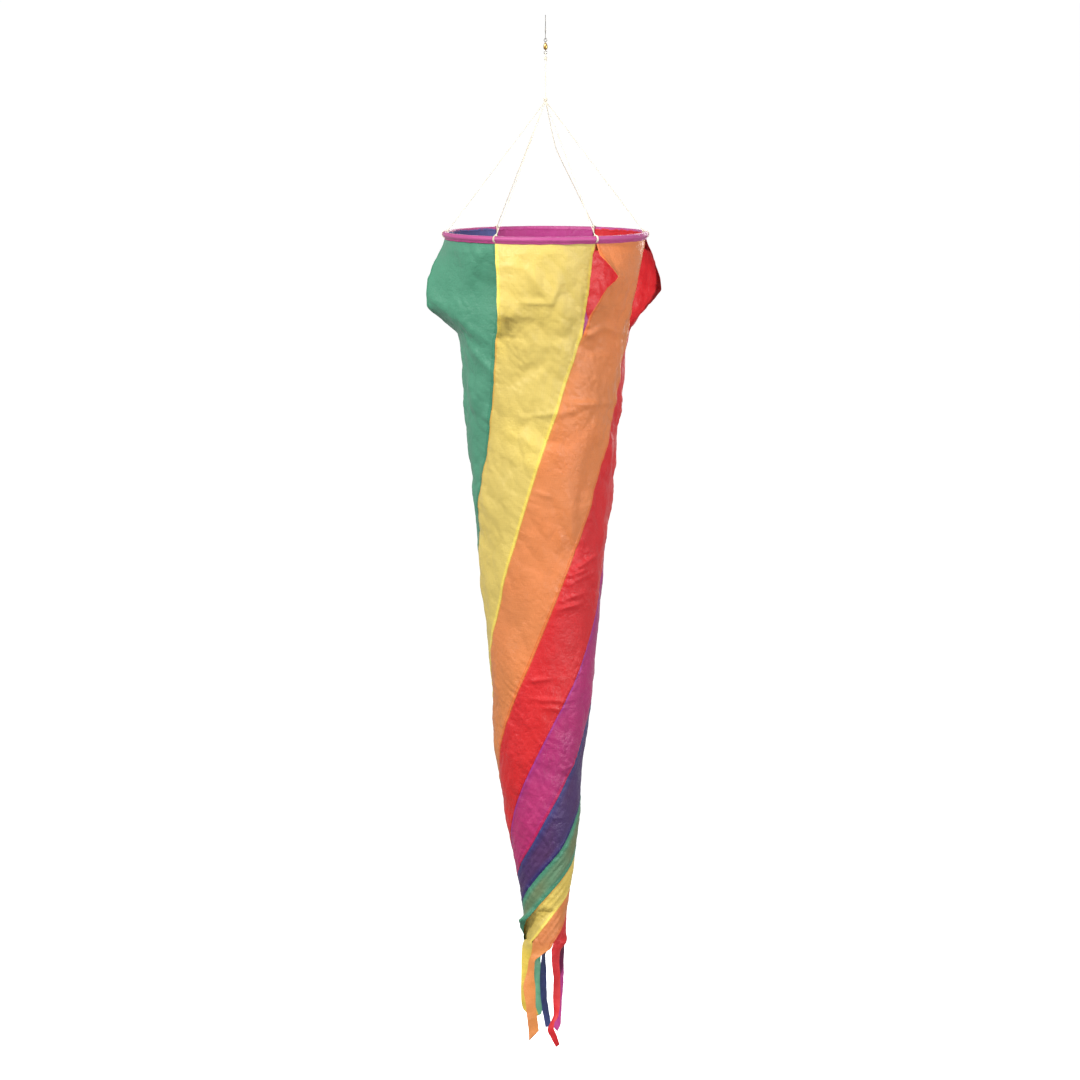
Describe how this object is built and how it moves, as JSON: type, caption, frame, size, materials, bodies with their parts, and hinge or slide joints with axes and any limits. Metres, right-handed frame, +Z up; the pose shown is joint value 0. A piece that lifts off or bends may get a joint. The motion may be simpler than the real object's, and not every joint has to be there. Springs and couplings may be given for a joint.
{
  "type": "hanging spinning windsock",
  "caption": "Fabric windsock tapering in spiral colour panels from a hoop with scooped vents to a ribboned foot, hung by a cord bridle from a swivel and wire snap.",
  "frame": {"origin": "the point inside the snap's top bend that bears on whatever the windsock hangs from", "axes": "+Z up along the hanging sock, +X to the right and -Y towards the viewer in the front view"},
  "size_m": [0.3419, 0.3057, 1.5057],
  "materials": {
    "snap_wire": "satin",
    "snap_plate": "satin",
    "swivel_brass": "satin",
    "swivel_eye": "satin",
    "swivel_ball": "gloss",
    "cord": "matte",
    "hoop_rod": "satin",
    "ferrule": "satin",
    "hem": "matte",
    "cloth_green": "matte",
    "cloth_yellow": "matte",
    "cloth_orange": "matte",
    "cloth_red": "matte",
    "cloth_purple": "matte",
    "cloth_blue": "matte"
  },
  "bodies": {
    "snap": {"snap_frame": "snap_wire", "snap_plate": "snap_plate"},
    "latch": {"snap_latch": "snap_wire"},
    "swivel": {"swivel_upper_eye": "swivel_eye", "swivel_barrel": "swivel_brass", "swivel_balls": "swivel_ball"},
    "lower_eye": {"swivel_lower_eye": "swivel_eye"},
    "sock": {"leader_loop": "cord", "leader_knot": "cord", "bridle_knot": "cord", "bridle_line_left": "cord", "bridle_line_front_left": "cord", "bridle_line_front_right": "cord", "bridle_line_right": "cord", "bridle_line_back_right": "cord", "bridle_line_back_left": "cord", "hoop_rod": "hoop_rod", "hoop_ferrule": "ferrule", "hem_sleeve": "hem", "panel_top_green": "cloth_green", "panel_waist_green": "cloth_green", "panel_foot_green": "cloth_green", "panel_top_yellow": "cloth_yellow", "panel_waist_yellow": "cloth_yellow", "panel_foot_yellow": "cloth_yellow", "panel_top_orange": "cloth_orange", "panel_waist_orange": "cloth_orange", "panel_foot_orange": "cloth_orange", "panel_top_red": "cloth_red", "panel_waist_red": "cloth_red", "panel_foot_red": "cloth_red", "panel_top_purple": "cloth_purple", "panel_waist_purple": "cloth_purple", "panel_foot_purple": "cloth_purple", "panel_top_blue": "cloth_blue", "panel_waist_blue": "cloth_blue", "panel_foot_blue": "cloth_blue"},
    "ribbon_green": {"tail_green": "cloth_green"},
    "ribbon_yellow": {"tail_yellow": "cloth_yellow"},
    "ribbon_orange": {"tail_orange": "cloth_orange"},
    "ribbon_red": {"tail_red": "cloth_red"},
    "ribbon_purple": {"tail_purple": "cloth_purple"},
    "ribbon_blue": {"tail_blue": "cloth_blue"}
  },
  "joints": [
    {"name": "latch_squeeze", "type": "hinge", "parent": "snap", "child": "latch", "pos_m": [0, 0.0032, -0.00325], "axis": [-1, 0, 0], "range_deg": [0, 8], "stiffness_Nm_per_rad": 0.01},
    {"name": "swivel_swing", "type": "hinge", "parent": "snap", "child": "swivel", "pos_m": [0, 0, -0.0345], "axis": [0, 1, 0], "range_deg": [-75, 75]},
    {"name": "swivel_spin", "type": "hinge", "parent": "swivel", "child": "lower_eye", "pos_m": [0, 0, -0.0497], "axis": [0, 0, 1], "continuous": true},
    {"name": "sock_swing", "type": "hinge", "parent": "lower_eye", "child": "sock", "pos_m": [0, 0, -0.0557], "axis": [1, 0, 0], "range_deg": [-75, 75]},
    {"name": "green_ribbon_lift", "type": "hinge", "parent": "sock", "child": "ribbon_green", "pos_m": [-0.02078, 0.01422, -1.3547], "axis": [0.5648, 0.8252, 0], "range_deg": [-5, 75]},
    {"name": "yellow_ribbon_lift", "type": "hinge", "parent": "sock", "child": "ribbon_yellow", "pos_m": [-0.02271, -0.01088, -1.3547], "axis": [-0.4322, 0.9018, 0], "range_deg": [-5, 75]},
    {"name": "orange_ribbon_lift", "type": "hinge", "parent": "sock", "child": "ribbon_orange", "pos_m": [-0.00193, -0.02511, -1.3547], "axis": [-0.9971, 0.0765, 0], "range_deg": [-5, 75]},
    {"name": "red_ribbon_lift", "type": "hinge", "parent": "sock", "child": "ribbon_red", "pos_m": [0.02078, -0.01422, -1.3547], "axis": [-0.5648, -0.8252, 0], "range_deg": [-5, 75]},
    {"name": "purple_ribbon_lift", "type": "hinge", "parent": "sock", "child": "ribbon_purple", "pos_m": [0.02271, 0.01088, -1.3547], "axis": [0.4322, -0.9018, 0], "range_deg": [-5, 75]},
    {"name": "blue_ribbon_lift", "type": "hinge", "parent": "sock", "child": "ribbon_blue", "pos_m": [0.00193, 0.02511, -1.3547], "axis": [0.9971, -0.0765, 0], "range_deg": [-5, 75]}
  ]
}
